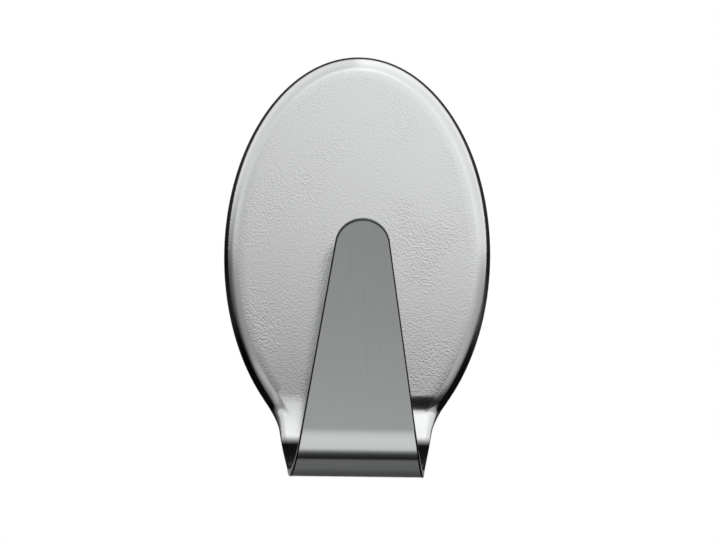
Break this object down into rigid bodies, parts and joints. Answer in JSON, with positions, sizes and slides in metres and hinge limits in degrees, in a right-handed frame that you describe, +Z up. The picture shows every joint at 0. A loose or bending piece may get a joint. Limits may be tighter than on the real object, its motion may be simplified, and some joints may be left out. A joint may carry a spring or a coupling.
{
  "type": "adhesive wall hook",
  "caption": "Self-adhesive metal wall hook: an oval steel plate with a drawn-back rim runs down into an upturned tapered tongue; a die-cut foam pad with a release liner sits behind it",
  "frame": {"origin": "centre of the oval plate, on the face that goes against the wall", "axes": "+Z up, +Y into the wall, -Y out of the wall towards the tongue, +X across"},
  "size_m": [0.035, 0.0235, 0.0553],
  "materials": {
    "steel": "satin",
    "adhesive": "gloss",
    "foam": "matte",
    "liner": "matte"
  },
  "bodies": {
    "root": {"steel_hook": "steel", "plate_adhesive": "adhesive", "foam_core": "foam", "wall_adhesive": "adhesive", "liner_upper": "liner", "liner_lower": "liner"}
  },
  "joints": []
}
